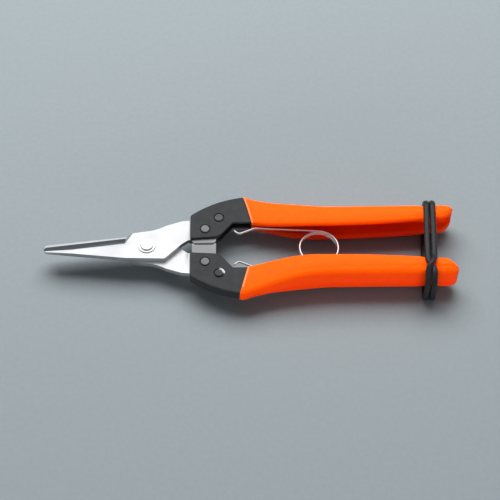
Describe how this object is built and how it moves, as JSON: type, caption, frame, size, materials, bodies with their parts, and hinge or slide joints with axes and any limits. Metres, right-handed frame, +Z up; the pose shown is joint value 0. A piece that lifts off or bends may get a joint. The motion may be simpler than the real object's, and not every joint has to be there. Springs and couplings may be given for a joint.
{
  "type": "floral snips",
  "caption": "Slim floral snips: flat crossed blades on a rivet, pressed steel handles with soft dipped grips, a wire return spring and a rubber lock loop.",
  "frame": {"origin": "under the middle of the closed snips, at the height of their lowest point", "axes": "+X from the blade tips to the ends of the handles, +Y across to the upper handle, +Z up, square to the flat blades"},
  "size_m": [0.1777, 0.0532, 0.0195],
  "materials": {
    "blade_steel": "satin stainless, ground bevel",
    "rivet_steel": "turned, satin",
    "handle_paint": "semi-gloss black",
    "painted_rivet": "semi-gloss dark grey",
    "grip_vinyl": "soft dipped vinyl, fine pebble",
    "spring_wire": "bright drawn wire",
    "loop_rubber": "glossy black rubber"
  },
  "bodies": {
    "pivot": {"pivot_rivet": "rivet_steel", "upper_pivot_washer": "rivet_steel", "lower_pivot_washer": "rivet_steel", "return_spring": "spring_wire", "lock_loop": "loop_rubber"},
    "upper_arm": {"front_blade": "blade_steel", "upper_handle_frame": "handle_paint", "upper_grip": "grip_vinyl", "upper_front_rivet": "painted_rivet", "upper_rear_rivet": "painted_rivet"},
    "lower_arm": {"rear_blade": "blade_steel", "lower_handle_frame": "handle_paint", "lower_grip": "grip_vinyl", "lower_front_rivet": "painted_rivet", "lower_rear_rivet": "painted_rivet"}
  },
  "joints": [
    {"name": "upper_swing", "type": "hinge", "parent": "pivot", "child": "upper_arm", "pos_m": [-0.0445, 0, 0.009], "axis": [0, 0, 1], "range_deg": [0, 10], "deforming": ["return_spring", "lock_loop"]},
    {"name": "lower_swing", "type": "hinge", "parent": "pivot", "child": "lower_arm", "pos_m": [-0.0445, 0, 0.009], "axis": [0, 0, 1], "range_deg": [-10, 0], "deforming": ["return_spring", "lock_loop"]}
  ],
  "couplings": [
    {"joint": "lower_swing", "follows": "upper_swing", "ratio": -1}
  ]
}
